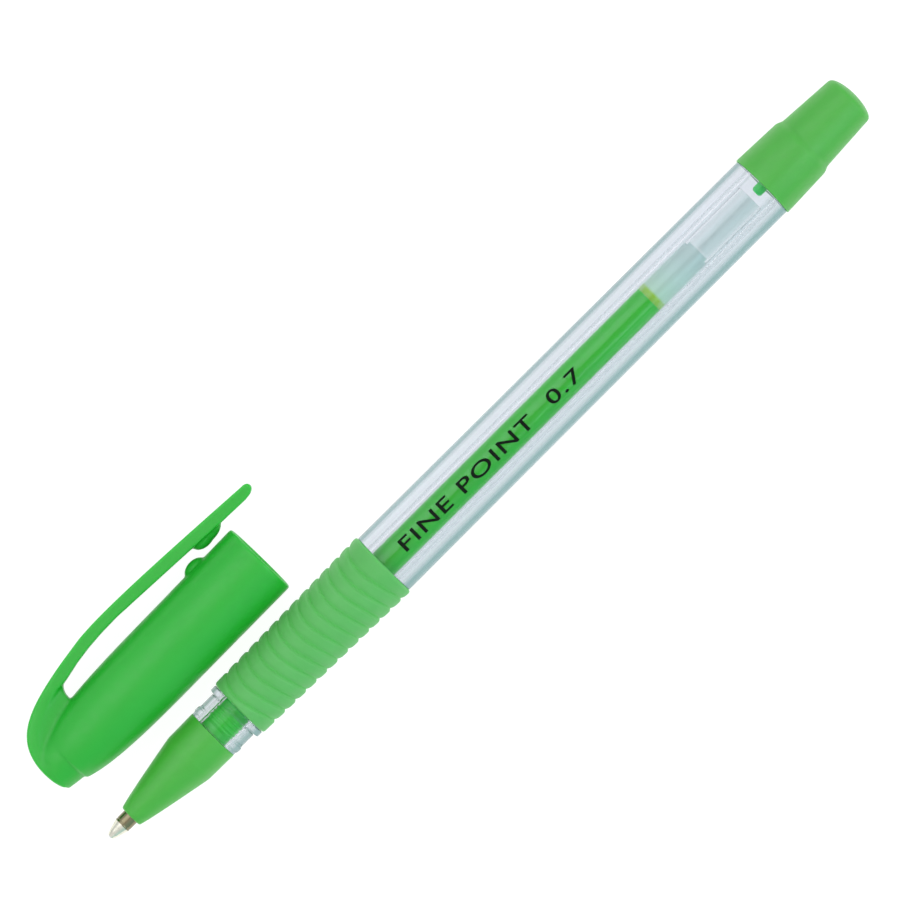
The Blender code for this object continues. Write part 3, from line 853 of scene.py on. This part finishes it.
def cap():
    """One moulding: hollow body with a hooded end, a strap over the end, its web and the clip."""
    mouth_r = half_height("cap_shell")
    body = bezier((-36.1, 3.8), (-33.5, 4.75), (-29.0, 5.22), (-20.0, 5.28), 24)
    outline = [
        (-39.6, 0.0),
        (-39.53, 1.3),
        (-39.3, 2.35),
        (-38.8, 3.1),
        (-37.0, 3.37),
        (-36.35, 3.43, True),
        (-36.15, 3.65, True),
        *body,
        (0.0, mouth_r, True),
        (0.0, CAP_BORE_R, True),
        (-8.0, CAP_BORE_R - 0.1),
        (-9.0, CAP_BORE_R - 0.4),
        (-24.0, CAP_BORE_R - 0.55),
        (-34.0, 2.4),
        (-36.5, 1.8),
        (-37.3, 0.0),
    ]
    bm = turned(rounded(outline, 0.4, 6), CAP_SIDES)
    hood = [(-39.57, 0.0), (-39.49, 1.3), (-39.2, 2.2), (-38.7, 2.9), (-38.0, 3.3), (-37.0, 3.5)]
    hood += [(-35.5, 3.75), (-33.0, 3.98), (-34.0, 3.2), (-37.0, 2.6), (-37.6, 0.0)]
    add_turned(bm, hood, HOOD_RISE)

    crest = bezier((-39.65, 0.4), (-39.52, 7.0), (-34.6, 8.15), (CLIP_BEND, 9.5), 48)
    bow = bezier((CLIP_BEND, 9.5), (-18.6, 10.02), (-5.0, 8.92), (5.4, 8.18), 40)
    over_end = [(-39.05, -2.7), (-39.35, -2.1), (-39.53, -1.3), (-39.62, -0.5)]
    over_end += [p for p in crest if p[0] < -30.6]
    add_strip(bm, over_end, inward(over_end, CLIP_THICKNESS))
    tip_round = [(5.66, 8.02), (5.82, 7.8), (5.85, 7.55), (5.78, 7.3), (5.55, 7.05), (5.2, 6.84), (4.8, 6.74)]
    under = [(4.0, 6.67), (-0.3, 6.86), (-5.6, 7.2), (-9.4, 7.44)]
    under += [(-18.6, 7.99), (-21.5, 7.97), (-24.0, 7.82)]
    under += [(-26.5, 7.5), (-29.2, 6.95), (-30.7, 6.8)]
    strap = [p for p in crest if p[0] > -32.2] + bow[1:] + tip_round + under
    add_plate(bm, strap, crest_half)
    web = [p for p in inward(crest, CLIP_THICKNESS / 2) if p[1] > 2.0 and p[0] < -29.6]
    web += [(-29.3, 8.0), (-29.6, 7.0), (-30.05, 6.5), (-30.35, 5.9), (-30.5, 4.4), (-35.0, 2.9)]
    add_plate(bm, web, web_half)
    add_ellipsoid(bm, (-6.9, 4.95, 0.0), (1.8, 1.25, 1.3))
    add_ellipsoid(bm, (-3.4, 7.15, 0.0), (1.85, 1.2, 1.3))
    add_ellipsoid(bm, (-2.5, 7.15, 0.0), (2.2, 1.1, 1.3))
    material = moulded_plastic("green_cap_look", *CAP_GREEN)
    return make_piece(bm, "cap_moulding", CAP_PLACE, material, None)


def apply_modifiers(piece):
    graph = bpy.context.evaluated_depsgraph_get()
    mesh = bpy.data.meshes.new_from_object(piece.evaluated_get(graph))
    piece.modifiers.clear()
    piece.data = mesh


def make_one_skin(piece):
    """Merges the overlapping solids into one skin, and softens it most at the clip's root and the end."""
    remesh = piece.modifiers.new("one_skin", "REMESH")
    remesh.mode = "VOXEL"
    remesh.voxel_size = SKIN_VOXEL * MM
    remesh.use_smooth_shade = True
    apply_modifiers(piece)
    root = piece.vertex_groups.new(name="root")
    for vert in piece.data.vertices:
        x, y = vert.co.x / MM, vert.co.y / MM
        behind = clamped((-29.0 - x) / 2.0) * clamped((y - 0.5) / 2.0)
        end = min(0.7, clamped((-36.6 - x) / 1.2)) * clamped((y + 2.6) / 0.8)
        if max(behind, end) > 0.0:
            root.add([vert.index], max(behind, end), "REPLACE")
    for name, group, iterations in (("soften", "", SOFTEN_ALL), ("soften_root", "root", SOFTEN_ROOT)):
        smooth = piece.modifiers.new(name, "SMOOTH")
        smooth.factor = 0.5
        smooth.iterations = iterations
        smooth.vertex_group = group
    apply_modifiers(piece)
    piece.vertex_groups.clear()


def place_cap(piece):
    """Bakes the one skin's place into its mesh, and hides the frame's cap shell and clip."""
    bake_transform(piece)
    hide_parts("cap_shell", "cap_clip")


# ---------------------------------------------------------------- marking


MARKING = "FINE POINT  0.7"
MARKING_FRONT = 53.7
MARKING_LENGTH = 32.2
MARKING_HEIGHT = 1.92
MARKING_SHIFT = 0.1
MARKING_ROWS = 12
PRINT_LIFT = 0.012


def marking():
    """A generic point-size marking, printed on the barrel and bent round it."""
    curve = bpy.data.curves.new("marking_text", "FONT")
    curve.body = MARKING
    curve.size = 2.6
    curve.extrude = 0.004
    curve.offset = 0.03
    curve.space_character = 1.12
    letters = bpy.data.objects.new("marking_letters", curve)
    bpy.context.collection.objects.link(letters)
    graph = bpy.context.evaluated_depsgraph_get()
    mesh = bpy.data.meshes.new_from_object(letters.evaluated_get(graph))
    bpy.data.objects.remove(letters, do_unlink=True)
    bm = bmesh.new()
    bm.from_mesh(mesh)
    bpy.data.meshes.remove(mesh)
    xs = [v.co.x for v in bm.verts]
    ys = [v.co.y for v in bm.verts]
    wide, tall = max(xs) - min(xs), max(ys) - min(ys)
    for cut in range(1, MARKING_ROWS):
        level = min(ys) + tall * cut / MARKING_ROWS
        geometry = [*bm.verts, *bm.edges, *bm.faces]
        bmesh.ops.bisect_plane(bm, geom=geometry, plane_co=(0.0, level, 0.0), plane_no=(0.0, 1.0, 0.0))
    body_r = half_height("barrel")
    barrel_front, plug_front = station("grip_sleeve")[1], station("end_plug")[0]
    for vert in bm.verts:
        x = MARKING_FRONT + (vert.co.x - min(xs)) * MARKING_LENGTH / wide
        across = (vert.co.y - (min(ys) + max(ys)) / 2) * MARKING_HEIGHT / tall - MARKING_SHIFT
        surface = body_r - BARREL_TAPER * (x - barrel_front) / (plug_front - barrel_front)
        radius = surface + PRINT_LIFT + vert.co.z
        angle = across / surface
        vert.co = (x, radius * math.sin(angle), radius * math.cos(angle))
    piece = make_piece(bm, "marking", PEN_PLACE, print_ink("print_ink_look"), 30.0)
    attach(piece, "pen_body")


# ---------------------------------------------------------------- stage


# Distances on the stage are in metres.
FLOOR_HALF = 1.5
TEAL_WALL = (0.48, 0.82, 0.8)
STUDIO_STRENGTH = 0.88


def floor():
    """A plain floor, kept evenly white by its own glow."""
    s = Shader("floor_look")
    paper = s.noise(40.0, 4.0, 0.6)
    s.set(
        Base_Color=s.ramp(paper, [(0.3, (0.2, 0.2, 0.2)), (0.7, (0.22, 0.22, 0.22))]),
        Roughness=s.number(paper, 0.85, 0.95),
        Specular_IOR_Level=0.1,
        Emission_Color=(1.0, 1.0, 1.0, 1.0),
        Emission_Strength=0.92,
    )
    mesh = bpy.data.meshes.new("floor")
    half = FLOOR_HALF
    corners = [(-half, -half, 0), (half, -half, 0), (half, half, 0), (-half, half, 0)]
    mesh.from_pydata(corners, [], [(0, 1, 2, 3)])
    mesh.materials.append(s.material)
    item = bpy.data.objects.new("floor", mesh)
    bpy.context.collection.objects.link(item)


def area_light(name, position, target, size, power, color):
    data = bpy.data.lights.new(name, "AREA")
    data.shape = "RECTANGLE"
    data.size, data.size_y = size
    data.energy = power
    data.color = color
    item = bpy.data.objects.new(name, data)
    bpy.context.collection.objects.link(item)
    item.location = position
    item.rotation_euler = (Vector(target) - Vector(position)).to_track_quat("-Z", "Y").to_euler()


def light():
    """An even studio: bright walls, a warmer ceiling, a teal wall on the pen's side, and soft lamps."""
    world = bpy.data.worlds.new("studio")
    bpy.context.scene.world = world
    world.use_nodes = True
    nodes, links = world.node_tree.nodes, world.node_tree.links
    direction = nodes.new("ShaderNodeTexCoord").outputs["Generated"]
    split = nodes.new("ShaderNodeSeparateXYZ")
    links.new(direction, split.inputs[0])
    ramp = nodes.new("ShaderNodeValToRGB")
    elements = ramp.color_ramp.elements
    for position in (0.35, 0.93, 0.985):
        elements.new(position)
    stops = [(0.4, 0.52, 0.53), (0.95, 0.97, 1.0), (0.95, 0.97, 1.0), (0.75, 0.68, 0.65), (0.7, 0.6, 0.57)]
    for element, color in zip(elements, stops):
        element.color = (*color, 1.0)
    links.new(split.outputs["Z"], ramp.inputs["Fac"])
    lower = nodes.new("ShaderNodeMapRange")
    for name, value in (("From Min", -0.2), ("From Max", -0.9), ("To Min", 0.0), ("To Max", 0.85)):
        lower.inputs[name].default_value = value
    links.new(split.outputs["Y"], lower.inputs["Value"])
    mix = nodes.new("ShaderNodeMix")
    mix.data_type = "RGBA"
    links.new(lower.outputs["Result"], mix.inputs[0])
    links.new(ramp.outputs["Color"], mix.inputs[6])
    mix.inputs[7].default_value = (*TEAL_WALL, 1.0)
    links.new(mix.outputs[2], nodes["Background"].inputs["Color"])
    nodes["Background"].inputs["Strength"].default_value = STUDIO_STRENGTH
    area_light("key", (-0.1, 0.35, 0.75), (0.0, 0.0, 0.0), (0.9, 0.7), 1.9, (0.96, 0.98, 1.0))
    area_light("fill", (0.35, -0.45, 0.55), (0.0, 0.0, 0.0), (0.6, 0.6), 1.5, (0.78, 1.0, 0.98))


FRAME_WIDTH = 0.117
LENS = 300.0
SENSOR = 36.0
LOOK_ALONG = 66.96 * MM
LOOK_ACROSS = 4.41 * MM
ROLL = math.radians(-44.93)


def camera():
    """Straight above, with the pen rising to the upper right of the frame."""
    data = bpy.data.cameras.new("camera")
    data.lens = LENS
    data.sensor_width = SENSOR
    data.clip_end = 20.0
    item = bpy.data.objects.new("camera", data)
    bpy.context.collection.objects.link(item)
    distance = FRAME_WIDTH * LENS / SENSOR
    item.location = PEN_ORIGIN + Vector((LOOK_ALONG, LOOK_ACROSS, distance))
    item.rotation_euler = (0.0, 0.0, ROLL)
    bpy.context.scene.camera = item


def main():
    bpy.context.scene.view_settings.view_transform = "Standard"
    barrel()
    grip_sleeve()
    front_section()
    end_plug()
    refill()
    tip()
    tip_holder()
    moulding = cap()
    make_one_skin(moulding)
    place_cap(moulding)
    marking()
    floor()
    light()
    camera()


main()
